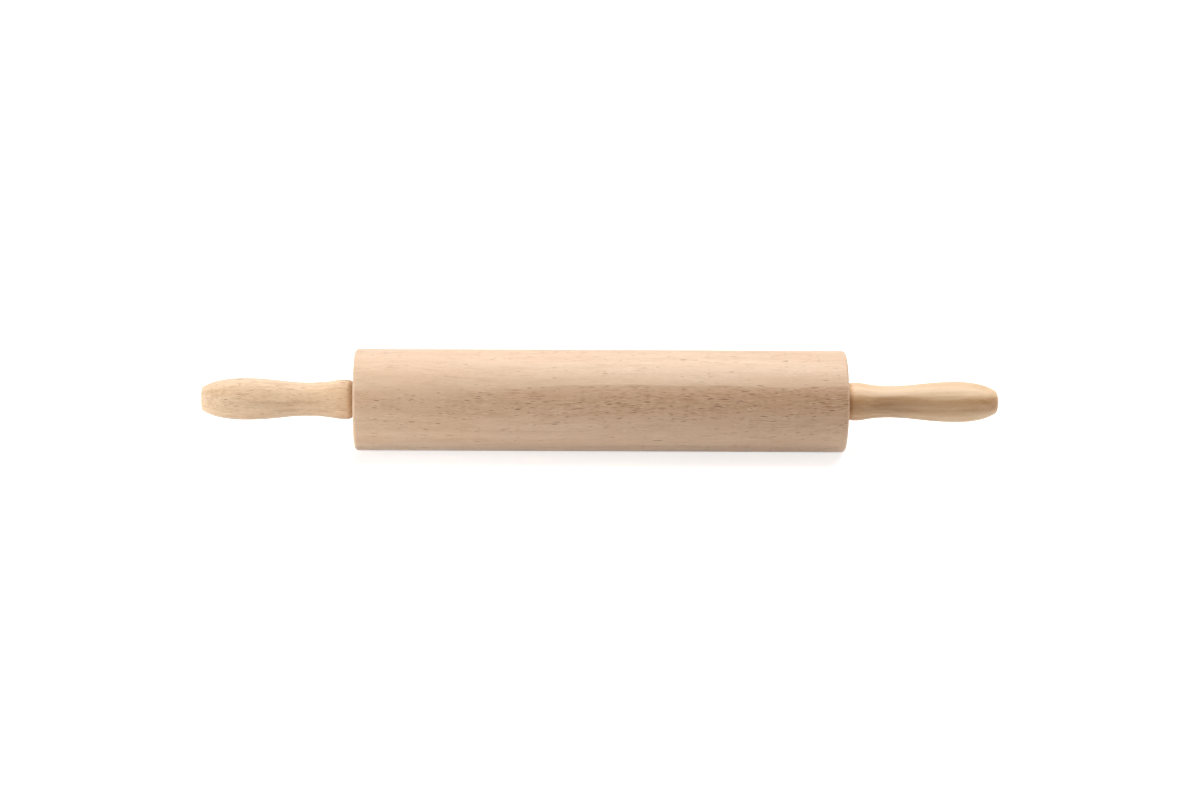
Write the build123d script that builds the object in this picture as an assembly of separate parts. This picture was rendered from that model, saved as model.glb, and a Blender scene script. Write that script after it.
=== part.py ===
"""A baker's rolling pin: a wooden barrel that turns on a steel axle between two turned handles.

Lengths are in millimetres. X runs along the pin, Z is up, and the origin is the middle of the barrel on
the axle's centre line. Each end is built at the +X end, and a half turn about Z puts a copy at the -X end.
"""
import os

from build123d import *

# Barrel: a straight roller with softly rounded end edges
barrel_length = 250.0
barrel_diameter = 52.0
barrel_edge_round = 1.8
recess_mouth_chamfer = 0.5

# Axle: a steel rod, reduced and toothed at both ends where the handles are driven on
axle_diameter = 8.0
axle_step = 0.5
spigot_length = 46.0
spigot_tip_chamfer = 1.0
tooth_count = 12
tooth_height = 0.35
tooth_width = 1.0
tooth_shoulder_margin = 12.0
tooth_tip_margin = 4.0

# Bush: a flanged nylon sleeve with crush ribs, pressed into each end of the barrel
bush_sleeve_diameter = 15.6
bush_sleeve_length = 16.0
bush_flange_diameter = 19.0
bush_flange_thickness = 1.4
bush_flange_edge_chamfer = 0.3
bush_lead_chamfer = 0.7
bush_land_length = 4.5
bush_relief_depth = 0.5
bush_rib_count = 6
bush_rib_width = 1.4
bush_rib_height = 0.35
bush_rib_root_spread = 0.6

# Thrust washer and retaining ring: the stack that holds the axle's end play
washer_outer_diameter = 14.6
washer_thickness = 0.8
ring_groove_depth = 1.0
ring_thickness = 0.7
ring_outer_diameter = 12.4
ring_jaw_grip = 0.4
ring_prong_width = 2.6
ring_jaw_round = 0.4

# Handles: both are turned to one pattern, the left one a little thicker than the right one
handle_length = 77.3
shoulder_length = 4.5
shoulder_round = 3.2
handle_tip_chamfer = 0.6
left_shoulder_diameter = 20.4
left_waist_diameter = 17.2
left_waist_from_face = 22.5
left_belly_diameter = 21.4
left_belly_from_face = 55.8
left_tip_diameter = 12.0
right_shoulder_diameter = 19.6
right_waist_diameter = 16.4
right_waist_from_face = 21.3
right_belly_diameter = 20.8
right_belly_from_face = 57.4
right_tip_diameter = 10.6
socket_mouth_depth = 3.0
socket_air_gap = 1.5
socket_point_depth = 2.0

# Where the two arcs of each turned curve meet, as shares of its run and of its rise or fall
neck_turn_share = 0.28
swell_turn_share = 0.42
fall_run_share = 0.56
fall_drop_share = 0.24

# Clearances
axle_way_clearance = 1.0
recess_side_clearance = 0.5
ring_hidden_depth = 0.3
bush_running_clearance = 0.08
bush_seat_bottom_clearance = 1.0
bush_seat_clearance = 0.2
end_play = 0.15
washer_bore_clearance = 0.15
ring_side_clearance = 0.05
ring_root_clearance = 0.05
ring_spring_clearance = 0.8
handle_gap = 0.8
socket_mouth_clearance = 0.1
socket_wall_clearance = 0.05
cut_overrun = 1.0

# Diameters that follow from what they hold
axle_way_diameter = axle_diameter + 2 * axle_way_clearance
spigot_diameter = axle_diameter - 2 * axle_step
ring_groove_diameter = axle_diameter - 2 * ring_groove_depth
ring_mouth_width = ring_groove_diameter - 2 * ring_jaw_grip
bush_seat_diameter = bush_sleeve_diameter + 2 * bush_seat_clearance
recess_diameter = bush_flange_diameter + 2 * recess_side_clearance

# Places along X, measured from the middle of the pin. The ring sits just inside the barrel's end
# face, and the washer, the flange and the recess's floor lie behind it.
barrel_end = barrel_length / 2
ring_face = barrel_end - ring_hidden_depth - ring_thickness
groove_end = ring_face + ring_thickness + ring_side_clearance
groove_start = ring_face - ring_side_clearance
washer_face = groove_start - washer_thickness
flange_face = washer_face - end_play
recess_floor = flange_face - bush_flange_thickness
handle_face = barrel_end + handle_gap
axle_shoulder = handle_face + socket_mouth_depth
axle_tip = axle_shoulder + spigot_length


def bar(diameter, start, end):
    """A plain round bar, or the tool for a plain round hole, along X."""
    return Pos(X=(start + end) / 2) * Rot(Y=90) * Cylinder(diameter / 2, end - start)


def turned(*outline):
    """What a lathe leaves: an outline of lines and curves in (X, radius), turned about X."""
    return revolve(make_face(outline), Axis.X)


def turned_points(*points):
    """The same for an outline of straight lines."""
    return turned(*Polyline(*points, close=True).edges())


def at_other_end(piece):
    """A half turn about Z carries a piece of the +X end to the -X end."""
    return Rot(Z=180) * piece


def around_axle(piece, count):
    """Copies of a piece, evenly spaced about X."""
    return [Rot(X=360 * turn / count) * piece for turn in range(count)]


def bush_seat():
    """The hole for one bush: a ribbed sleeve's seat, and a recess that hides flange, washer and ring."""
    seat_radius = bush_seat_diameter / 2
    recess_radius = recess_diameter / 2
    seat_bottom = recess_floor - bush_sleeve_length - bush_seat_bottom_clearance
    mouth = barrel_end + cut_overrun
    return turned_points(
        (seat_bottom, 0),
        (seat_bottom, seat_radius),
        (recess_floor, seat_radius),
        (recess_floor, recess_radius),
        (barrel_end - recess_mouth_chamfer, recess_radius),
        (mouth, recess_radius + recess_mouth_chamfer + cut_overrun),
        (mouth, 0),
    )


def make_barrel():
    """A turned roller with rounded end edges, bored right through for the axle."""
    log = bar(barrel_diameter, -barrel_end, barrel_end)
    log = fillet(log.edges().filter_by(GeomType.CIRCLE), barrel_edge_round)
    log -= bar(axle_way_diameter, -barrel_end - cut_overrun, barrel_end + cut_overrun)
    seat = bush_seat()
    return log - seat - at_other_end(seat)


def bush_body():
    """Sleeve and flange, as one turned shape with a lead-in chamfer at the sleeve's tip."""
    sleeve_radius = bush_sleeve_diameter / 2
    sleeve_tip = recess_floor - bush_sleeve_length
    flange = bar(bush_flange_diameter, recess_floor, flange_face)
    flange_edge = flange.edges().filter_by(GeomType.CIRCLE).sort_by(Axis.X)[-1]
    flange = chamfer(flange_edge, bush_flange_edge_chamfer)
    sleeve = turned_points(
        (sleeve_tip, 0),
        (sleeve_tip, sleeve_radius - bush_lead_chamfer),
        (sleeve_tip + bush_lead_chamfer, sleeve_radius),
        (recess_floor, sleeve_radius),
        (recess_floor, 0),
    )
    return sleeve + flange


def bush_rib():
    """One crush rib: a low ridge along the sleeve, tapered towards the sleeve's tip."""
    root = bush_sleeve_diameter / 2 - bush_rib_height
    crest = bush_sleeve_diameter / 2 + bush_rib_height
    start = recess_floor - bush_sleeve_length + bush_lead_chamfer
    foot = bush_rib_width / 2 + bush_rib_root_spread
    head = bush_rib_width / 2
    section = Polyline((-foot, root), (foot, root), (head, crest), (-head, crest), close=True)
    ridge = Pos(X=start) * extrude(Plane.YZ * make_face(section), recess_floor - start)
    taper = turned_points(
        (start, 0),
        (start, root),
        (start + bush_lead_chamfer, crest + cut_overrun),
        (recess_floor, crest + cut_overrun),
        (recess_floor, 0),
    )
    return ridge & taper


def bush_bore():
    """The axle's running bore: two plain lands with a shallow grease relief between them."""
    land_radius = axle_diameter / 2 + bush_running_clearance
    relief_radius = land_radius + bush_relief_depth
    sleeve_tip = recess_floor - bush_sleeve_length
    return turned_points(
        (sleeve_tip - cut_overrun, 0),
        (sleeve_tip - cut_overrun, land_radius),
        (sleeve_tip + bush_land_length, land_radius),
        (sleeve_tip + bush_land_length + bush_relief_depth, relief_radius),
        (flange_face - bush_land_length - bush_relief_depth, relief_radius),
        (flange_face - bush_land_length, land_radius),
        (flange_face + cut_overrun, land_radius),
        (flange_face + cut_overrun, 0),
    )


def make_bush():
    """A flanged sleeve whose ribs bite into the barrel's seat."""
    return bush_body() + around_axle(bush_rib(), bush_rib_count) - bush_bore()


def spigot_tooth():
    """One straight tooth of the drive end, proud of the spigot, with a sloped lead at its tip."""
    root = spigot_diameter / 2 - tooth_height
    crest = spigot_diameter / 2 + tooth_height
    start = axle_shoulder + tooth_shoulder_margin
    end = axle_tip - tooth_tip_margin
    section = Polyline((-tooth_width / 2, root), (tooth_width / 2, root), (0, crest), close=True)
    ridge = Pos(X=start) * extrude(Plane.YZ * make_face(section), end - start)
    taper = turned_points(
        (start, 0),
        (start, root),
        (start + 2 * tooth_height, crest),
        (end - 2 * tooth_height, crest),
        (end, root),
        (end, 0),
    )
    return ridge & taper


def axle_end():
    """One end of the axle: ring groove, shoulder, and the toothed spigot for a handle."""
    spigot = bar(spigot_diameter, axle_shoulder, axle_tip)
    spigot = chamfer(spigot.edges().filter_by(GeomType.CIRCLE).sort_by(Axis.X)[-1], spigot_tip_chamfer)
    journal = bar(axle_diameter, 0, groove_start) + bar(axle_diameter, groove_end, axle_shoulder)
    groove_floor = bar(ring_groove_diameter, groove_start, groove_end)
    return journal + groove_floor + spigot + around_axle(spigot_tooth(), tooth_count)


def make_axle():
    """The whole axle, end to end."""
    end = axle_end()
    return end + at_other_end(end)


def make_washer():
    """A flat stamped thrust washer between a bush's flange and a retaining ring."""
    disc = bar(washer_outer_diameter, washer_face, groove_start)
    bore_diameter = axle_diameter + 2 * washer_bore_clearance
    return disc - bar(bore_diameter, washer_face - cut_overrun, groove_start + cut_overrun)


def ring_outline():
    """A retaining ring seen along the axle: top prong, two legs, spring gaps, and a mouth facing down."""
    grip_radius = ring_groove_diameter / 2 + ring_root_clearance
    spring_radius = axle_diameter / 2 + ring_spring_clearance
    outer_radius = ring_outer_diameter / 2
    top_prong = Pos(Y=spring_radius / 2) * Rectangle(ring_prong_width, spring_radius)
    legs = Pos(Y=-spring_radius / 2) * Rectangle(2 * spring_radius, spring_radius)
    spring_gaps = Circle(spring_radius) - top_prong - legs
    mouth = Pos(Y=-outer_radius / 2) * Rectangle(ring_mouth_width, outer_radius)
    outline = Circle(outer_radius) - spring_gaps - Circle(grip_radius) - mouth
    jaw_tips = outline.vertices().group_by(Axis.Y)[0]
    return fillet(jaw_tips, ring_jaw_round)


def make_retaining_ring():
    """The ring as sheet steel, in its groove."""
    return Pos(X=ring_face) * extrude(Plane.YZ * ring_outline(), ring_thickness)


def turned_curve(start, end, run_share, drop_share):
    """Two arcs from one (X, radius) point to another: level at the start, and tangent where they meet."""
    run = end[0] - start[0]
    drop = end[1] - start[1]
    meeting = (start[0] + run_share * run, start[1] + drop_share * drop)
    first = TangentArc(start, meeting, tangent=(1, 0))
    return first, TangentArc(meeting, end, tangent=first % 1)


def handle_blank(
    shoulder_diameter, waist_diameter, waist_from_face, belly_diameter, belly_from_face, tip_diameter
):
    """A turned handle before it is bored: inner face, shoulder, waist, belly and a blunt tip."""
    shoulder_radius = shoulder_diameter / 2
    face_edge = (handle_face, shoulder_radius - shoulder_round)
    shoulder_start = (handle_face + shoulder_round, shoulder_radius)
    shoulder_end = (handle_face + shoulder_length, shoulder_radius)
    waist = (handle_face + waist_from_face, waist_diameter / 2)
    belly = (handle_face + belly_from_face, belly_diameter / 2)
    tip = (handle_face + handle_length, tip_diameter / 2)
    blank = turned(
        TangentArc(face_edge, shoulder_start, tangent=(0, 1)),
        Line(shoulder_start, shoulder_end),
        *turned_curve(shoulder_end, waist, neck_turn_share, neck_turn_share),
        *turned_curve(waist, belly, swell_turn_share, swell_turn_share),
        *turned_curve(belly, tip, fall_run_share, fall_drop_share),
        *Polyline(tip, (tip[0], 0), (handle_face, 0), face_edge).edges(),
    )
    tip_edge = blank.edges().filter_by(GeomType.CIRCLE).sort_by(Axis.X)[-1]
    return chamfer(tip_edge, handle_tip_chamfer)


def handle_socket():
    """The blind hole for the axle: a wider mouth for the journal, then a drilled hole for the spigot."""
    mouth_radius = axle_diameter / 2 + socket_mouth_clearance
    socket_radius = spigot_diameter / 2 + socket_wall_clearance
    bottom = axle_tip + socket_air_gap
    return turned_points(
        (handle_face - cut_overrun, 0),
        (handle_face - cut_overrun, mouth_radius),
        (axle_shoulder, mouth_radius),
        (axle_shoulder, socket_radius),
        (bottom, socket_radius),
        (bottom + socket_point_depth, 0),
    )


def make_left_handle():
    """The thicker handle, at the -X end."""
    blank = handle_blank(
        left_shoulder_diameter,
        left_waist_diameter,
        left_waist_from_face,
        left_belly_diameter,
        left_belly_from_face,
        left_tip_diameter,
    )
    return at_other_end(blank - handle_socket())


def make_right_handle():
    """The slimmer handle, at the +X end."""
    blank = handle_blank(
        right_shoulder_diameter,
        right_waist_diameter,
        right_waist_from_face,
        right_belly_diameter,
        right_belly_from_face,
        right_tip_diameter,
    )
    return blank - handle_socket()


bush = make_bush()
washer = make_washer()
retaining_ring = make_retaining_ring()
pieces = {
    "barrel": make_barrel(),
    "left_bush": at_other_end(bush),
    "right_bush": bush,
    "axle_rod": make_axle(),
    "left_thrust_washer": at_other_end(washer),
    "right_thrust_washer": washer,
    "left_retaining_ring": at_other_end(retaining_ring),
    "right_retaining_ring": retaining_ring,
    "left_handle": make_left_handle(),
    "right_handle": make_right_handle(),
}

os.makedirs("parts", exist_ok=True)
for name, piece in pieces.items():
    export_step(piece, f"parts/{name}.step")
    print(name, "volume", round(piece.volume), "mm3")
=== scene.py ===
# %% [markdown]
# # A baker's rolling pin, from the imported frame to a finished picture
#
# The real pin is a wooden barrel that turns on a hidden steel axle, between two handles that stay
# still in the hands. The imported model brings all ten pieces, each on the body that it moves with.
# In this lesson the three wooden pieces are turned again with a finer surface, and every piece gets
# a finish.

# %% Load the frame
import math

import bmesh
import bpy
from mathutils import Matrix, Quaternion, Vector


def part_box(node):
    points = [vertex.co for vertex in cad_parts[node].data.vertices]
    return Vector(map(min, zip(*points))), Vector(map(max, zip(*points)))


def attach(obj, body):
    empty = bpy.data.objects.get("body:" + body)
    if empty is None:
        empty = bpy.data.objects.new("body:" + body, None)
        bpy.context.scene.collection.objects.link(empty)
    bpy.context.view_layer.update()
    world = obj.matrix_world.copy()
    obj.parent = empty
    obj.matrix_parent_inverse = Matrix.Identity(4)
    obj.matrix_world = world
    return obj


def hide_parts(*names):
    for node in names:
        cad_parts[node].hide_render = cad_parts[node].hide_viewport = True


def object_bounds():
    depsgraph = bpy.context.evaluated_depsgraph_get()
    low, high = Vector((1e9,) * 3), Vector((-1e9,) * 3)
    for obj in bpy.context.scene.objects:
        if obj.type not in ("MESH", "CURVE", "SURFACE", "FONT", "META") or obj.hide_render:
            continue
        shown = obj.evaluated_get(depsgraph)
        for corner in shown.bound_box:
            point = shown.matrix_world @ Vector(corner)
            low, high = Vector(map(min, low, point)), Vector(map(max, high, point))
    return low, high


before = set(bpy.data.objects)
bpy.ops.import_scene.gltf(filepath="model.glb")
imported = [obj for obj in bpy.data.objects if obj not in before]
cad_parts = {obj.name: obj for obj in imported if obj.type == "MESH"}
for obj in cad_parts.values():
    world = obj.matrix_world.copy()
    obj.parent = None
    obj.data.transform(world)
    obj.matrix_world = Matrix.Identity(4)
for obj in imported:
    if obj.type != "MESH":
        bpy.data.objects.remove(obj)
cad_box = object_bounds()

MM = 0.001
for name in sorted(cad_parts):
    low, high = ([round(v / MM, 2) for v in corner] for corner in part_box(name))
    print(name, "from", low, "to", high, "mm")

# %% [markdown]
# ## The camera
#
# The photo is a product shot: a long lens, a little above the pin, and square to it. The ends of
# the barrel bulge outwards in the picture by about four pixels. Only a camera at a finite distance
# does that, so the bulge gives the distance, and the pin's width in the picture then gives the
# lens. The height of a camera can't be read from a round bar, so a usual one is taken.

# %% Camera
camera_distance = 1.448
camera_azimuth = math.radians(-1.1)
camera_elevation = math.radians(25.0)
camera_roll = math.radians(0.72)
lens_length = 85.0
sensor_width = 36.0
image_width, image_height = 1200.0, 800.0
object_centre_column, object_centre_row = 600.45, 400.45


def add_object(name, data):
    """A new object at the origin, linked to the scene."""
    made = bpy.data.objects.new(name, data)
    bpy.context.scene.collection.objects.link(made)
    return made


def from_direction(azimuth, elevation, distance):
    """A place seen from the pin: azimuth 0 is in front, at -Y, and 90 degrees is at +X."""
    level, height = math.cos(elevation) * distance, math.sin(elevation) * distance
    return Vector((math.sin(azimuth) * level, -math.cos(azimuth) * level, height))


def aimed_at_pin(place):
    """The rotation that points a camera or a lamp from its place at the middle of the pin."""
    return (-Vector(place)).to_track_quat("-Z", "Y")


camera_data = bpy.data.cameras.new("camera")
camera_data.lens = lens_length
camera_data.sensor_width = sensor_width
camera_data.shift_x = (image_width / 2 - object_centre_column) / image_width
camera_data.shift_y = (object_centre_row - image_height / 2) / image_width
camera = add_object("camera", camera_data)
camera.location = from_direction(camera_azimuth, camera_elevation, camera_distance)
camera.rotation_mode = "QUATERNION"
camera.rotation_quaternion = aimed_at_pin(camera.location) @ Quaternion((0, 0, 1), camera_roll)
bpy.context.scene.camera = camera
bpy.context.scene.view_settings.view_transform = "Standard"
print("camera at", [round(v, 3) for v in camera.location])

# %% [markdown]
# ## Floor and background
#
# A studio shot on white is lit so that the table itself turns white in the picture. Turning the
# lamps up would burn out the pale wood too, so the floor gets a glow that only the camera and
# mirror-like rays see. Near the pin the lamps already light the floor, so the glow is weaker there,
# and the pin's soft shadow still shows. Further out it grows until it alone gives white.


# %% Node helpers
def put(tree, kind, inputs=None, **settings):
    """Adds one node. Inputs are numbers, colours or sockets, by name or by place."""
    made = tree.nodes.new(kind)
    for key, value in settings.items():
        setattr(made, key, value)
    for key, value in (inputs or {}).items():
        if isinstance(value, bpy.types.NodeSocket):
            tree.links.new(value, made.inputs[key])
        else:
            made.inputs[key].default_value = value
    return made


def number(tree, operation, *values):
    """One sum of numbers."""
    return put(tree, "ShaderNodeMath", dict(enumerate(values)), operation=operation).outputs[0]


def new_material(name):
    """An empty node material: the material and its tree."""
    material = bpy.data.materials.new(name)
    material.use_nodes = True
    material.node_tree.nodes.clear()
    return material, material.node_tree


def seen_directly(tree):
    """1 for camera, glossy and transmission rays, and 0 for the light that falls on the pin."""
    path = put(tree, "ShaderNodeLightPath").outputs
    mirrored = number(tree, "MAXIMUM", path["Is Glossy Ray"], path["Is Transmission Ray"])
    return number(tree, "MAXIMUM", path["Is Camera Ray"], mirrored)


# %% Floor
floor_tone = (0.80, 0.80, 0.80, 1)
white_light = (1, 1, 1, 1)
glow_near, glow_far = 0.70, 1.0
glow_from, glow_to = 0.7, 2.5
floor_half = 6.0
floor_height = cad_box[0].z

floor_sides = ((-1, -1), (1, -1), (1, 1), (-1, 1))
floor_mesh = bpy.data.meshes.new("floor")
floor_mesh.from_pydata([(x * floor_half, y * floor_half, floor_height) for x, y in floor_sides], [],
                       [(0, 1, 2, 3)])
floor = add_object("floor", floor_mesh)
floor_white, tree = new_material("floor_white")
paper = put(tree, "ShaderNodeBsdfDiffuse", {"Color": floor_tone})
place = put(tree, "ShaderNodeTexCoord").outputs["Object"]
away = put(tree, "ShaderNodeVectorMath", {0: place}, operation="LENGTH").outputs["Value"]
spread = put(tree, "ShaderNodeMapRange", {"Value": away, "From Min": glow_from, "From Max": glow_to,
                                          "To Min": glow_near, "To Max": glow_far})
glow = number(tree, "MULTIPLY", seen_directly(tree), spread.outputs[0])
glowing = put(tree, "ShaderNodeEmission", {"Color": white_light, "Strength": glow})
both = put(tree, "ShaderNodeAddShader", {0: paper.outputs[0], 1: glowing.outputs[0]})
put(tree, "ShaderNodeOutputMaterial", {"Surface": both.outputs[0]})
floor_mesh.materials.append(floor_white)
print("floor at", round(floor_height / MM, 2), "mm, glow", glow_near, "to", glow_far)

# %% [markdown]
# ## Light
#
# In the photo the upper third of the barrel is bright and creamy, right up to its edge. Below it
# the wood is even, calm and clearly darker, more so at the right than at the left, and near the
# floor it gets lighter again. So a large soft lamp hangs overhead, a little to the right, and a
# weaker one stands behind, to the left, for the top edge. A small one lights the left end, and a
# very small one beyond the right end gives the barrel the pale rim that the photo shows there. The
# pale floor throws the rest of the light back up. Each lamp was rendered alone, and the pictures
# were added up to meet the photo row by row, which gave the strengths.
# Part of the difference between the two ends is not lamp light: it is painted light and painted
# shade in the wood's tone, set further down.

# %% Lamps and world
lamps = {
    "overhead_softbox": dict(place=(0.28, 0.22, 1.07), width=1.1, depth=0.9, power=16.3),
    "rear_softbox": dict(place=(-0.30, 0.75, 0.72), width=1.2, depth=0.6, power=4.4),
    "left_softbox": dict(place=(-0.72, -0.34, 0.05), width=0.45, depth=0.45, power=5.7),
    "right_softbox": dict(place=(0.72, -0.05, 0.10), width=0.30, depth=0.20, power=0.8),
}
world_light, world_seen = 0.01, 1.0


def soft_lamp(name, place, width, depth, power):
    """A rectangular soft lamp that points at the pin."""
    data = bpy.data.lights.new(name, "AREA")
    data.shape = "RECTANGLE"
    data.size, data.size_y = width, depth
    data.energy = power
    lamp = add_object(name, data)
    lamp.location = place
    lamp.rotation_mode = "QUATERNION"
    lamp.rotation_quaternion = aimed_at_pin(place)


for name, lamp in lamps.items():
    soft_lamp(name, **lamp)
    print(name, lamp["power"], "W")

world = bpy.data.worlds.new("studio")
world.use_nodes = True
bpy.context.scene.world = world
tree = world.node_tree
tree.nodes.clear()
level = put(tree, "ShaderNodeMapRange", {"Value": seen_directly(tree), "To Min": world_light,
                                         "To Max": world_seen})
room = put(tree, "ShaderNodeBackground", {"Color": white_light, "Strength": level.outputs[0]})
put(tree, "ShaderNodeOutputWorld", {"Surface": room.outputs[0]})

# %% [markdown]
# ## Wood that goes all the way through
#
# The pin is a pale tropical hardwood with open pores. A flat picture of planks wrapped round the
# barrel would show a seam, and would not match on the end faces. Wood is a solid, so its pattern is
# made from the piece's own coordinates instead: growth layers round a pith that lies outside the
# piece, and fibres and pores drawn out along the grain. The lathe then cuts through it, and end
# grain shows by itself.

# %% Sums and mixes
mix_share, mix_first, mix_second, mix_result = 0, 6, 7, 2  # a Mix node's colour sockets


def vector(tree, operation, *values, result="Vector"):
    """One sum of vectors."""
    made = put(tree, "ShaderNodeVectorMath", dict(enumerate(values)), operation=operation)
    return made.outputs[result]


def ramp(tree, value, low, high, bottom=0.0, top=1.0):
    """Goes smoothly from bottom to top as the value goes from low to high."""
    inputs = {"Value": value, "From Min": low, "From Max": high, "To Min": bottom, "To Max": top}
    return put(tree, "ShaderNodeMapRange", inputs, interpolation_type="SMOOTHSTEP").outputs[0]


def clamped(tree, value):
    """The value, kept from 0 to 1."""
    return put(tree, "ShaderNodeClamp", {"Value": value}).outputs[0]


def mixed(tree, share, first, second):
    """A share of the second colour over the first one."""
    inputs = {mix_share: share, mix_first: first, mix_second: second}
    return put(tree, "ShaderNodeMix", inputs, data_type="RGBA").outputs[mix_result]


def in_millimetres(tree):
    """The piece's own coordinates in millimetres: X along the grain, Y and Z across it."""
    own = put(tree, "ShaderNodeTexCoord").outputs["Object"]
    return vector(tree, "MULTIPLY", own, (1 / MM, 1 / MM, 1 / MM))


def cells_along_grain(tree, place, length, width):
    """Coordinates in which wood of length by width millimetres is one unit long and wide."""
    return vector(tree, "MULTIPLY", place, (1 / length, 1 / width, 1 / width))


def cloud(tree, place, length, width, detail=1.0):
    """Noise from about 0 to 1 whose blobs are drawn out along the grain."""
    inputs = {"Vector": cells_along_grain(tree, place, length, width), "Scale": 1.0,
              "Detail": detail}
    return put(tree, "ShaderNodeTexNoise", inputs).outputs["Fac"]


def level_cloud(tree, place, blob):
    """The same noise, as much below 0 as above it."""
    return number(tree, "SUBTRACT", cloud(tree, place, *blob), 0.5)


# %% [markdown]
# ### Grain that wanders
#
# No tree grows quite straight. Two slow noises push the fibres sideways by two or three
# millimetres, and a finer one curls the threads and pores a little more. The push has no part
# along the grain, so each dash stays as long as it is. The growth layers follow a third of the way,
# because a line that wanders as much as the fibres would look like marble.

# %% Wandering grain
slow_sway, short_sway, curl_sway = (70, 6), (19, 1.3), (6.5, 0.8)
layer_following = 0.35


def sway(tree, place, length, reach):
    """A wandering of the grain, in mm: how long it is, and about twice how far it goes."""
    noise = put(tree, "ShaderNodeTexNoise", {"Vector": place, "Scale": 1 / length, "Detail": 0.0})
    level = vector(tree, "SUBTRACT", noise.outputs["Color"], (0.5, 0.5, 0.5))
    return vector(tree, "MULTIPLY", level, (0, reach, reach))


def grain_places(tree, seed):
    """Coordinates in mm for the layers, for the fibres, and for threads and pores."""
    plain = in_millimetres(tree)
    seeded = vector(tree, "ADD", plain, seed)
    drift = vector(tree, "ADD", sway(tree, seeded, *slow_sway), sway(tree, seeded, *short_sway))
    followed = vector(tree, "MULTIPLY", drift, (layer_following,) * 3)
    fibres = vector(tree, "ADD", seeded, drift)
    curls = vector(tree, "ADD", fibres, sway(tree, seeded, *curl_sway))
    return vector(tree, "ADD", plain, followed), fibres, curls


print("the fibres wander in waves of about", slow_sway[0], "and", short_sway[0], "mm")

# %% [markdown]
# ### Growth layers
#
# Each layer starts dark and fades outwards. On the barrel one start shows as a line along the whole
# front, soft at the left end and crisp from the middle on, and slightly frayed. Rings of a texture
# node would all be alike, so the distance from the pith is divided by a layer's width instead. The
# whole part of that counts the layers, and gives each one its own strength. The rest tells how far
# into its layer a point lies.

# %% Growth layers
barrel_half = 125.0
blur_from, blur_to = -90.0, -10.0
quick_start, slow_start, slow_extra = 0.45, 0.55, 0.27
line_power, line_depth = 30.0, 0.25
fade_power = 1.3
year_step, year_swing, usual_year = 2.4, 0.4, 0.6
left_strength, right_strength = 0.87, 1.14


def growth_layers(tree, place, along, fray, given):
    """How much the layers darken the wood, and how fresh it is, from 1 at a start to 0."""
    across = vector(tree, "MULTIPLY", vector(tree, "SUBTRACT", place, given["Pith"]), (0, 1, 1))
    radius = number(tree, "ADD", vector(tree, "LENGTH", across, result="Value"), fray)
    grown = number(tree, "SUBTRACT", radius, given["First layer"])
    count = number(tree, "DIVIDE", grown, given["Layer width"])
    part = number(tree, "FRACT", count)
    fresh = number(tree, "SUBTRACT", 1.0, part)

    blur = ramp(tree, along, blur_from, blur_to, given["Left edge"], given["Right edge"])
    slow_blur = number(tree, "ADD", blur, slow_extra)
    start = number(tree, "ADD", ramp(tree, part, 0.0, blur, 0.0, quick_start),
                   ramp(tree, part, 0.0, slow_blur, 0.0, slow_start))
    line = number(tree, "MULTIPLY", number(tree, "POWER", fresh, line_power), line_depth)
    fade = number(tree, "ADD", number(tree, "POWER", fresh, fade_power), line)

    layer = number(tree, "MULTIPLY", number(tree, "FLOOR", count), year_step)
    year = number(tree, "MULTIPLY_ADD", number(tree, "COSINE", layer), year_swing, usual_year)
    side = ramp(tree, along, -barrel_half, barrel_half, left_strength, right_strength)
    strength = number(tree, "MULTIPLY", number(tree, "MULTIPLY", start, year), side)
    return number(tree, "MULTIPLY", fade, strength), number(tree, "MULTIPLY", fresh, strength)


print("a layer's start goes from soft to crisp from x =", blur_from, "to", blur_to, "mm")

# %% [markdown]
# ### Tone
#
# Between the pores the wood is a mix of pale and tan. Long bands, soft mottling, fine threads and
# specks all add to the share of tan, each by a depth that the three woods set for themselves. The
# threads gather in patches and in fresh wood, which keeps the calm parts calm. Under all of it the
# share of tan rises from the left end of the pin to the right one. That rise is painted light at
# the left and painted shade at the right, not the wood, and it also makes the left handle paler and
# the right one darker.

# %% Tone
band_blob, thread_blob, speck_blob = (70, 3.4, 3.0), (8, 0.6, 2.0), (2.2, 0.5, 2.0)
mottle_blob, mottle_ramp = (13, 2.4, 2.0), (0.50, 0.72)
fresh_threads, steady_threads = 0.9, 0.4
# Painted light and shade: the base share of tan is lower at the left end and higher at the right.
left_painted_light_tone, right_painted_shade_tone = 0.17, 0.27


def wood_threads(tree, curls, fresh, gathered):
    """Fine threads along the grain, livelier in fresh wood and where the pores gather."""
    lively = number(tree, "MULTIPLY_ADD", fresh, fresh_threads, steady_threads)
    lively = number(tree, "MULTIPLY", lively, gathered)
    return number(tree, "MULTIPLY", level_cloud(tree, curls, thread_blob), lively)


def tan_share_with_painted_light(tree, along, layers, fibres, curls, threads, given):
    """Share of tan over pale wood; painted light at the left end, painted shade at the right."""
    # The painted light and shade along the pin: less tan at the left end, more at the right.
    tan_with_painted_light = ramp(tree, along, -barrel_half, barrel_half, left_painted_light_tone, right_painted_shade_tone)
    mottle = ramp(tree, cloud(tree, fibres, *mottle_blob), *mottle_ramp)
    for part, depth in (
            (layers, "Layer depth"), (level_cloud(tree, fibres, band_blob), "Streak depth"),
            (mottle, "Mottle depth"), (threads, "Thread depth"),
            (level_cloud(tree, curls, speck_blob), "Speck depth")):
        tan_with_painted_light = number(tree, "MULTIPLY_ADD", part, given[depth], tan_with_painted_light)
    return clamped(tree, tan_with_painted_light)


print("share of tan in plain wood:", left_painted_light_tone, "at the left,", right_painted_shade_tone, "at the right")

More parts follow.
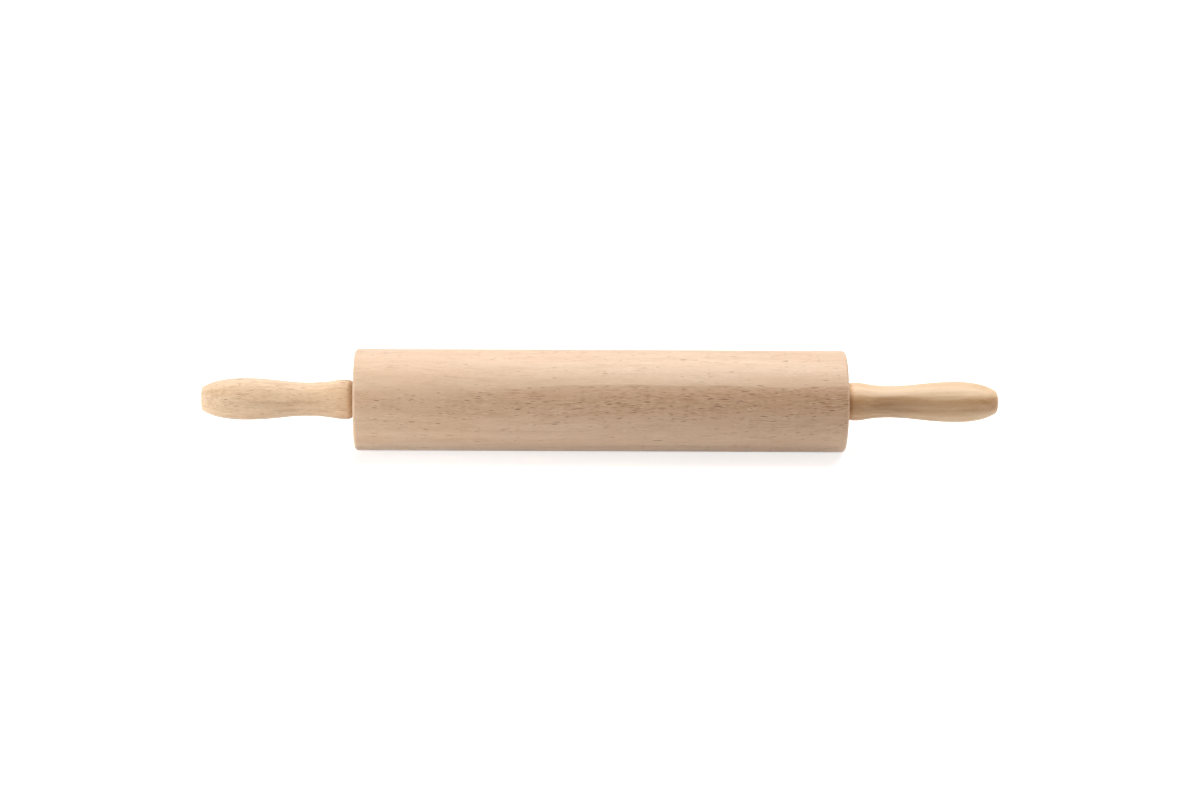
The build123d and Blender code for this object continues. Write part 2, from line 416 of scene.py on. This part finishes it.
# %% [markdown]
# ### Pores
#
# A pore is a cut vessel: a dark dash less than half a millimetre wide. In the photo most are dots
# and short dashes, a few run on as hairlines of a centimetre or two, and they gather just under the
# line where a growth layer starts. Voronoi cells drawn out along the grain give one spot to each
# cell, and the cell's random colour decides whether it is there, how thick and how dark it is.
# Pale flecks are made in the same way, a little to the side.

# %% Pores
thinnest, faintest = 0.5, 0.5
pore_edge = 0.45
dots, dot_depth = (4, 0.36, 0.34), 0.55
dashes = ((40, 0.8, 0.13), (13, 0.7, 0.20), (6.5, 0.6, 0.25))
fleck_dashes, fleck_shift = (7, 0.7, 0.26), (50, 9, 4)


def pores(tree, place, length, width, radius, share):
    """Dark dashes, 0 to 1. Length and width are a cell's in mm, the radius is in cells."""
    inputs = {"Vector": cells_along_grain(tree, place, length, width), "Scale": 1.0,
              "Randomness": 1.0}
    cell = put(tree, "ShaderNodeTexVoronoi", inputs).outputs
    chance = put(tree, "ShaderNodeSeparateColor", {"Color": cell["Color"]}).outputs
    thickness = number(tree, "MULTIPLY_ADD", chance["Green"], radius, radius * thinnest)
    depth = number(tree, "SUBTRACT", 1.0, number(tree, "DIVIDE", cell["Distance"], thickness))
    shape = ramp(tree, depth, 0.0, pore_edge)
    present = number(tree, "LESS_THAN", chance["Red"], share)
    darkness = number(tree, "MULTIPLY_ADD", chance["Blue"], 1 - faintest, faintest)
    return number(tree, "MULTIPLY", number(tree, "MULTIPLY", shape, present), darkness)


def all_pores(tree, curls, share):
    """Dots and three lengths of dashes; where two meet, the darker one counts."""
    marks = number(tree, "MULTIPLY", pores(tree, curls, *dots, share), dot_depth)
    for dash in dashes:
        marks = number(tree, "MAXIMUM", marks, pores(tree, curls, *dash, share))
    return marks


for length, width, radius in (dots, *dashes):
    across = 2 * radius * (1 + thinnest)
    print("pores up to", round(across * length, 1), "mm long,", round(across * width, 2), "mm wide")

# %% [markdown]
# ### One recipe, three woods
#
# The barrel is pinkish, the left handle creamier with soft brown flecks, and the right one yellow
# and almost plain. All three are the same species, so they share one node group and differ in its
# inputs. A group is better here than three copies of the nodes: one repair mends all three.

# %% The wood group
wood_inputs = {
    "Color": ("Pale", "Tan", "Blush", "Pore", "Fleck"),
    "Vector": ("Seed", "Pith"),
    "Float": ("First layer", "Layer width", "Layer depth", "Left edge", "Right edge",
              "Streak depth", "Mottle depth", "Thread depth", "Speck depth", "Stray pores",
              "Layer pores", "Pore depth", "Fleck depth"),
}
wood_outputs = {"Color": "Color", "Roughness": "Float", "Height": "Float"}
fray_blob, fray_reach = (24, 1.2, 2.0), 2.2
gather_blob, gather_ramp = (30, 5), (0.38, 0.60, 0.4, 1.05)
flush_blob, flush_ramp, fresh_flush = (55, 16), (0.42, 0.66, 0.0, 0.5), 0.6
crowding = 1.6
plain_roughness, thread_roughness, pore_roughness = 0.46, 0.18, 0.25
thread_height = 0.12


def wood_group():
    """The solid wood: its colour, its roughness and the height of its surface."""
    tree = bpy.data.node_groups.new("pale_hardwood", "ShaderNodeTree")
    for kind, names in wood_inputs.items():
        for name in names:
            tree.interface.new_socket(name, in_out="INPUT", socket_type="NodeSocket" + kind)
    for name, kind in wood_outputs.items():
        tree.interface.new_socket(name, in_out="OUTPUT", socket_type="NodeSocket" + kind)
    given = put(tree, "NodeGroupInput").outputs

    place, fibres, curls = grain_places(tree, given["Seed"])
    along = put(tree, "ShaderNodeSeparateXYZ", {"Vector": place}).outputs["X"]
    fray = number(tree, "MULTIPLY", level_cloud(tree, fibres, fray_blob), fray_reach)
    layers, fresh = growth_layers(tree, place, along, fray, given)
    gathered = ramp(tree, cloud(tree, fibres, *gather_blob), *gather_ramp)
    threads = wood_threads(tree, curls, fresh, gathered)
    tan_with_painted_light = tan_share_with_painted_light(tree, along, layers, fibres, curls, threads, given)
    flush = ramp(tree, cloud(tree, fibres, *flush_blob), *flush_ramp)
    flush = clamped(tree, number(tree, "MULTIPLY_ADD", fresh, fresh_flush, flush))
    wood = mixed(tree, tan_with_painted_light, mixed(tree, flush, given["Pale"], given["Blush"]), given["Tan"])

    crowded = number(tree, "POWER", fresh, crowding)
    share = number(tree, "MULTIPLY_ADD", crowded, given["Layer pores"], given["Stray pores"])
    share = number(tree, "MULTIPLY", share, gathered)
    marks = all_pores(tree, curls, share)
    flecks = pores(tree, vector(tree, "ADD", fibres, fleck_shift), *fleck_dashes, share)
    flecks = number(tree, "MULTIPLY", flecks, given["Fleck depth"])
    wood = mixed(tree, flecks, wood, given["Fleck"])
    wood = mixed(tree, number(tree, "MULTIPLY", marks, given["Pore depth"]), wood, given["Pore"])

    roughness = number(tree, "MULTIPLY_ADD", threads, thread_roughness, plain_roughness)
    roughness = number(tree, "MULTIPLY_ADD", marks, pore_roughness, roughness)
    height = number(tree, "SUBTRACT", number(tree, "MULTIPLY", threads, thread_height), marks)
    put(tree, "NodeGroupOutput", {"Color": wood, "Roughness": roughness, "Height": height})
    return tree


pale_hardwood = wood_group()
print("wood group:", len(pale_hardwood.nodes), "nodes")

# %% [markdown]
# ### Sanded and sealed
#
# The group gives the pattern. The finish round it is a thin satin one that leaves the pores open:
# a small relief from the same height, a middling gloss, and a faint sheen for the fuzz that sanding
# leaves. What is the same all over is set on the shader itself, so that an export keeps it.

# %% A wood finish
pore_step, relief_strength = 0.09 * MM, 0.9
refraction = 1.46
fuzz, fuzz_roughness = 0.12, 0.4


def wood(name, **inputs):
    """A satin wood from the group, with the values given for its inputs."""
    material, tree = new_material(name)
    group = put(tree, "ShaderNodeGroup", node_tree=pale_hardwood)
    for key, value in inputs.items():
        group.inputs[key.replace("_", " ")].default_value = value
    relief = put(tree, "ShaderNodeBump", {
        "Height": group.outputs["Height"], "Distance": pore_step, "Strength": relief_strength})
    surface = put(tree, "ShaderNodeBsdfPrincipled", {
        "Base Color": group.outputs["Color"], "Roughness": group.outputs["Roughness"],
        "Normal": relief.outputs[0], "IOR": refraction,
        "Sheen Weight": fuzz, "Sheen Roughness": fuzz_roughness})
    put(tree, "ShaderNodeOutputMaterial", {"Surface": surface.outputs[0]})
    print(name, "has its pith", round(Vector(inputs["Pith"]).length, 1), "mm from its axis")
    return material


# %% [markdown]
# ### The barrel's wood
#
# It is pinkish and lively. The pith lies well above the barrel and a little behind it, so the
# layers cross the front almost as straight lines. The distance at which they start is chosen so
# that one line runs just under the bright top, where the photo has it.

# %% The barrel's wood
barrel_wood = wood(
    "barrel_wood", Pale=(0.765, 0.565, 0.395, 1), Tan=(0.46, 0.260, 0.140, 1),
    Blush=(0.745, 0.505, 0.338, 1), Pore=(0.17, 0.060, 0.024, 1), Fleck=(0.90, 0.68, 0.48, 1),
    Seed=(310, 40, 95), Pith=(0, 20, 75),
    First_layer=69.5, Layer_width=29.0, Layer_depth=0.54, Left_edge=0.30, Right_edge=0.03,
    Streak_depth=0.5, Mottle_depth=0.12, Thread_depth=1.2, Speck_depth=0.4,
    Stray_pores=0.055, Layer_pores=1.1, Pore_depth=1.0, Fleck_depth=0.5)

# %% [markdown]
# ### The handles' woods
#
# Each handle comes from another piece of timber, so each has a pith, a seed and colours of its own.
# The left one is creamy, with soft flecks and short pores all over. The right one is yellow, with
# hardly any pores, and only its layers show.

# %% The handles' woods
left_handle_wood = wood(
    "left_handle_wood", Pale=(0.80, 0.595, 0.395, 1), Tan=(0.45, 0.250, 0.120, 1),
    Blush=(0.79, 0.56, 0.36, 1), Pore=(0.28, 0.085, 0.025, 1), Fleck=(0.90, 0.70, 0.50, 1),
    Seed=(-140, 220, 60), Pith=(0, 30, 48),
    First_layer=62.0, Layer_width=14.0, Layer_depth=0.20, Left_edge=0.3, Right_edge=0.3,
    Streak_depth=0.65, Mottle_depth=0.3, Thread_depth=0.95, Speck_depth=0.5,
    Stray_pores=0.36, Layer_pores=0.25, Pore_depth=0.85, Fleck_depth=0.7)
right_handle_wood = wood(
    "right_handle_wood", Pale=(0.87, 0.645, 0.42, 1), Tan=(0.40, 0.190, 0.065, 1),
    Blush=(0.84, 0.60, 0.37, 1), Pore=(0.30, 0.17, 0.09, 1), Fleck=(0.92, 0.72, 0.52, 1),
    Seed=(75, -180, 260), Pith=(0, 22, 60),
    First_layer=59.8, Layer_width=13.0, Layer_depth=0.95, Left_edge=0.3, Right_edge=0.3,
    Streak_depth=0.85, Mottle_depth=0.0, Thread_depth=0.4, Speck_depth=0.15,
    Stray_pores=0.05, Layer_pores=0.1, Pore_depth=0.5, Fleck_depth=0.3)

# %% [markdown]
# ## Drawing a turned outline
#
# A wood turner sees half of a section: a line from one end to the other, at the radius that is
# left. That line could be cut into points by hand, but then each curve would show small flats. Here
# each curve is an arc that leaves in a given direction, so the next one can start where it ends,
# with the same slope, just as the CAD's own curves do.

# %% Arcs
arc_steps = 14
straight_within = 1e-9


def arc(start, direction, end, steps=arc_steps):
    """Points on the arc that leaves start in a direction and reaches end, and its last heading."""
    start, end, direction = Vector(start), Vector(end), Vector(direction).normalized()
    chord = end - start
    side = Vector((-direction.y, direction.x))
    leaving = 2 * chord.dot(direction) * chord / chord.length_squared - direction
    if abs(chord.dot(side)) < straight_within:
        return [start.lerp(end, n / steps) for n in range(1, steps + 1)], leaving
    centre = start + side * chord.length_squared / (2 * chord.dot(side))
    sweep = -direction.angle_signed(leaving)
    points = []
    for n in range(1, steps + 1):
        x, y = start - centre
        c, s = math.cos(n / steps * sweep), math.sin(n / steps * sweep)
        points.append(centre + Vector((x * c - y * s, x * s + y * c)))
    return points, leaving


quarter, heading = arc((0, 0), (1, 0), (1, 1))
print("a quarter arc ends at", [round(v, 3) for v in quarter[-1]],
      "heading", [round(v, 3) for v in heading])

# %% Rounded corners
corner_steps = 8


def rounded(corners):
    """A closed outline from (x, radius, rounding) corners; a rounding touches both its sides."""
    outline = []
    for n, (x, r, rounding) in enumerate(corners):
        corner = Vector((x, r))
        before = Vector(corners[n - 1][:2]) - corner
        after = Vector(corners[(n + 1) % len(corners)][:2]) - corner
        start = corner + before.normalized() * rounding
        outline.append(start)
        if rounding:
            end = corner + after.normalized() * rounding
            outline += arc(start, -before, end, corner_steps)[0]
    return outline


square = rounded([(0, 0, 1), (9, 0, 1), (9, 9, 1), (0, 9, 1)])
print("a square with rounded corners takes", len(square), "points")

# %% [markdown]
# ## A lathe made of nodes
#
# The barrel and both handles are made in one way: an outline turned about the pin's axis. The Screw
# modifier or bmesh's spin would do it, but a small node tree is clearer and serves all three
# pieces. Curve to Mesh sweeps the outline round a small circle, Merge by Distance closes the wood
# where the outline meets the axis, and only edges sharper than a set angle stay crisp.

# %% The lathe tree
lathe_ring = 1.0 * MM
touching = 0.001 * MM
quarter_turn = math.pi / 2
lathe_inputs = {"Outline": "Geometry", "Segments": "Int", "Crisp angle": "Float",
                "Wood": "Material"}


def lathe_tree():
    """A node tree that turns an outline about X and gives it its wood."""
    tree = bpy.data.node_groups.new("lathe", "GeometryNodeTree")
    for name, kind in lathe_inputs.items():
        tree.interface.new_socket(name, in_out="INPUT", socket_type="NodeSocket" + kind)
    tree.interface.new_socket("Turned piece", in_out="OUTPUT", socket_type="NodeSocketGeometry")
    given = put(tree, "NodeGroupInput").outputs
    ring = put(tree, "GeometryNodeCurvePrimitiveCircle", {
        "Resolution": given["Segments"], "Radius": lathe_ring})
    upright = put(tree, "GeometryNodeTransform", {
        "Geometry": ring.outputs[0], "Rotation": (0, quarter_turn, 0)})
    swept = put(tree, "GeometryNodeCurveToMesh", {
        "Curve": upright.outputs[0], "Profile Curve": given["Outline"]})
    closed = put(tree, "GeometryNodeMergeByDistance", {
        "Geometry": swept.outputs[0], "Distance": touching})
    smooth = put(tree, "GeometryNodeSetShadeSmooth", {"Geometry": closed.outputs[0]},
                 domain="FACE")
    bend = put(tree, "GeometryNodeInputMeshEdgeAngle").outputs["Unsigned Angle"]
    soft = put(tree, "FunctionNodeCompare", {0: bend, 1: given["Crisp angle"]},
               data_type="FLOAT", operation="LESS_THAN")
    crisp = put(tree, "GeometryNodeSetShadeSmooth", {
        "Geometry": smooth.outputs[0], "Shade Smooth": soft.outputs[0]}, domain="EDGE")
    real = put(tree, "GeometryNodeRealizeInstances", {"Geometry": crisp.outputs[0]})
    dressed = put(tree, "GeometryNodeSetMaterial", {
        "Geometry": real.outputs[0], "Material": given["Wood"]})
    put(tree, "NodeGroupOutput", {0: dressed.outputs[0]})
    return tree


lathe = lathe_tree()
print("lathe:", [item.name for item in lathe.interface.items_tree if item.in_out == "INPUT"])

# %% [markdown]
# ### Using the lathe
#
# The outline becomes a curve, and the tree runs on it as a modifier. Its inputs are set by their
# identifiers before the curve is first evaluated. The result is then taken as a plain mesh, so that
# nothing live is left on the piece, and its faces are made to point outwards.

# %% Turning a piece
crisp_angle = math.radians(28)
print("edges sharper than", round(math.degrees(crisp_angle)), "degrees stay crisp")


def outline_curve(name, outline, cyclic):
    """The outline in mm as a curve: X along the pin, and Y the radius, less the lathe's ring."""
    curve = bpy.data.curves.new(name, "CURVE")
    curve.dimensions = "3D"
    spline = curve.splines.new("POLY")
    spline.points.add(len(outline) - 1)
    for point, (x, radius) in zip(spline.points, outline):
        point.co = (x * MM, radius * MM - lathe_ring, 0, 1)
    spline.use_cyclic_u = cyclic
    return curve


def turned_mesh(name, outline, cyclic, segments, material):
    """What the lathe makes of an outline, as a plain mesh."""
    blank = add_object(name, outline_curve(name, outline, cyclic))
    modifier = blank.modifiers.new("lathe", "NODES")
    modifier.node_group = lathe
    settings = {"Segments": segments, "Crisp angle": crisp_angle, "Wood": material}
    for item in lathe.interface.items_tree:
        if item.in_out == "INPUT" and item.name in settings:
            modifier[item.identifier] = settings[item.name]
    evaluated = blank.evaluated_get(bpy.context.evaluated_depsgraph_get())
    mesh = bpy.data.meshes.new_from_object(evaluated)
    blank.modifiers.remove(modifier)
    bpy.data.objects.remove(blank)
    return mesh


def turn(name, outline, cyclic, segments, material):
    """A turned piece with its faces outwards; prints its size, and its open edges if it has any."""
    mesh = turned_mesh(name, outline, cyclic, segments, material)
    work = bmesh.new()
    work.from_mesh(mesh)
    bmesh.ops.recalc_face_normals(work, faces=work.faces)
    open_edges = sum(not edge.is_manifold for edge in work.edges)
    volume = work.calc_volume(signed=True) / MM ** 3
    work.to_mesh(mesh)
    work.free()
    print(name, len(mesh.polygons), "faces,", open_edges, "open edges,", round(volume), "mm3")
    return add_object(name, mesh)


# %% [markdown]
# ## The barrel
#
# The roller itself: a plain straight bar with softly rounded end edges. It is bored right through
# for the axle, and each end has a stepped hole for the bush and the recess that hides washer and
# ring. One closed outline gives the outside and the bore at once, so the solid has no open side.

# %% Barrel
barrel_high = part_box("barrel")[1] / MM
barrel_end, barrel_radius = barrel_high.x, barrel_high.y
end_round = 1.8
recess_radius, recess_chamfer, recess_depth = 10.0, 0.5, 3.4
mouth_round = 0.2
seat_radius, seat_length = 8.0, 17.0
axle_way_radius = 5.0
barrel_segments = 160

recess_floor = barrel_end - recess_depth
seat_floor = recess_floor - seat_length
right_half = [
    (barrel_end, barrel_radius, end_round),
    (barrel_end, recess_radius + recess_chamfer, mouth_round),
    (barrel_end - recess_chamfer, recess_radius, mouth_round),
    (recess_floor, recess_radius, 0),
    (recess_floor, seat_radius, 0),
    (seat_floor, seat_radius, 0),
    (seat_floor, axle_way_radius, 0),
]
left_half = [(-x, radius, rounding) for x, radius, rounding in reversed(right_half)]
barrel = turn("turned_barrel", rounded(right_half + left_half), True, barrel_segments, barrel_wood)
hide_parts("barrel")
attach(barrel, "roller")

# %% [markdown]
# ## The handles
#
# Both handles were turned to one pattern by hand and eye: a rounded shoulder, a slim waist, a belly
# that fills the palm and a blunt end. The left one is about five percent thicker than the right
# one, and its belly sits a little nearer to the barrel. One function draws the pattern, with the
# measured sizes as inputs. From one diameter to the next the outline follows two arcs, which meet
# at a share of the way.

# %% The handle's pattern
shoulder_round, shoulder_length = 3.2, 4.5
neck_turn, swell_turn, fall_run, fall_drop = 0.28, 0.42, 0.56, 0.24
tip_round = 0.6
mouth_radius, mouth_depth = 4.1, 3.0
socket_radius, socket_depth, point_depth = 3.55, 50.5, 2.0
handle_segments = 128


def handle_outline(length, shoulder, waist, waist_at, belly, belly_at, tip):
    """Half of a handle's section, from the bottom of its socket to the middle of its end face."""
    outline = [Vector(point) for point in (
        (socket_depth + point_depth, 0), (socket_depth, socket_radius),
        (mouth_depth, socket_radius), (mouth_depth, mouth_radius), (0, mouth_radius),
        (0, shoulder / 2 - shoulder_round))]
    outline += arc(outline[-1], (0, 1), (shoulder_round, shoulder / 2))[0]
    outline.append(Vector((shoulder_length, shoulder / 2)))
    for at, radius, run, drop in ((waist_at, waist / 2, neck_turn, neck_turn),
                                  (belly_at, belly / 2, swell_turn, swell_turn),
                                  (length, tip / 2, fall_run, fall_drop)):
        start, end = outline[-1], Vector((at, radius))
        meeting = Vector((start.x + run * (end.x - start.x), start.y + drop * (end.y - start.y)))
        first, heading = arc(start, (1, 0), meeting)
        second, heading = arc(meeting, heading, end)
        outline += first + second
    while outline[-1].x > length - tip_round:
        outline.pop()
    outline += arc(outline[-1], heading, (length, tip / 2 - tip_round), corner_steps)[0]
    outline.append(Vector((length, 0)))
    return outline


print("each socket is", 2 * socket_radius, "mm wide and", socket_depth, "mm deep")

# %% Handles
def make_handle(side, face, material, **sizes):
    """One handle in its place; side is -1 for the left end and 1 for the right end."""
    name = "left_handle" if side < 0 else "right_handle"
    outline = [(side * (face + point.x), point.y) for point in handle_outline(**sizes)]
    handle = turn("turned_" + name, outline, False, handle_segments, material)
    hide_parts(name)
    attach(handle, "grips")


handle_low, handle_high = (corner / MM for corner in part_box("right_handle"))
handle_face, handle_length = handle_low.x, handle_high.x - handle_low.x
make_handle(-1, handle_face, left_handle_wood, length=handle_length, shoulder=20.4,
            waist=17.2, waist_at=22.5, belly=21.4, belly_at=55.8, tip=12.0)
make_handle(1, handle_face, right_handle_wood, length=handle_length, shoulder=19.6,
            waist=16.4, waist_at=21.3, belly=20.8, belly_at=57.4, tip=10.6)

# %% [markdown]
# ## The fittings
#
# Bushes, axle, washers and rings keep their CAD shapes, because those are already exact, and only
# get finishes. Each finish is one colour drifting to another in blotches, and the same blotches set
# the roughness and a very small relief. What the blotches look like tells how the part was made.

# %% Fittings
blotch_detail = 3.0
blotch_low, blotch_high = 0.3, 0.7


def fitting(names, name, colours, metallic, roughness, blotch, relief, **constants):
    """A finish for CAD pieces: roughness is (least, most), blotch (length, width), relief in mm."""
    material, tree = new_material(name)
    blotches = cloud(tree, in_millimetres(tree), *blotch, blotch_detail)
    share = ramp(tree, blotches, blotch_low, blotch_high)
    bump = put(tree, "ShaderNodeBump", {"Height": share, "Distance": relief * MM, "Strength": 1.0})
    inputs = {"Base Color": mixed(tree, share, *colours), "Metallic": metallic,
              "Roughness": ramp(tree, blotches, blotch_low, blotch_high, *roughness),
              "Normal": bump.outputs[0]}
    inputs.update({key.replace("_", " "): value for key, value in constants.items()})
    surface = put(tree, "ShaderNodeBsdfPrincipled", inputs)
    put(tree, "ShaderNodeOutputMaterial", {"Surface": surface.outputs[0]})
    for piece in names:
        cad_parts[piece].material_slots[0].material = material
    print(name, "on", ", ".join(names))


# %% [markdown]
# Moulded nylon is milky: a little light goes in and comes out beside it, and the mould leaves a
# fine even grain.

# %% Nylon
fitting(["left_bush", "right_bush"], "moulded_nylon",
        colours=[(0.80, 0.78, 0.70, 1), (0.86, 0.84, 0.77, 1)], metallic=0.0,
        roughness=(0.38, 0.52), blotch=(0.5, 0.5), relief=0.010, IOR=1.53,
        Subsurface_Weight=0.3, Subsurface_Scale=0.8 * MM, Subsurface_Radius=(1.0, 0.95, 0.85))

# %% [markdown]
# The axle is cut from bright drawn rod. Drawing pulls hairlines along it, so its blotches are long
# and very thin. Washers are stamped and then tumbled in a drum, which leaves them evenly dulled
# with small dents. The rings are spring steel with a dark phosphate coat: matt, finely speckled and
# slightly oily.

# %% Steel
fitting(["axle_rod"], "drawn_steel",
        colours=[(0.56, 0.56, 0.56, 1), (0.64, 0.64, 0.63, 1)], metallic=1.0,
        roughness=(0.18, 0.34), blotch=(25.0, 0.12), relief=0.004)
fitting(["left_thrust_washer", "right_thrust_washer"], "tumbled_steel",
        colours=[(0.50, 0.50, 0.50, 1), (0.62, 0.61, 0.60, 1)], metallic=1.0,
        roughness=(0.28, 0.45), blotch=(0.6, 0.6), relief=0.012)
fitting(["left_retaining_ring", "right_retaining_ring"], "phosphated_steel",
        colours=[(0.055, 0.053, 0.050, 1), (0.10, 0.098, 0.094, 1)], metallic=0.6,
        roughness=(0.40, 0.62), blotch=(0.25, 0.25), relief=0.008,
        Coat_Weight=0.2, Coat_Roughness=0.25)
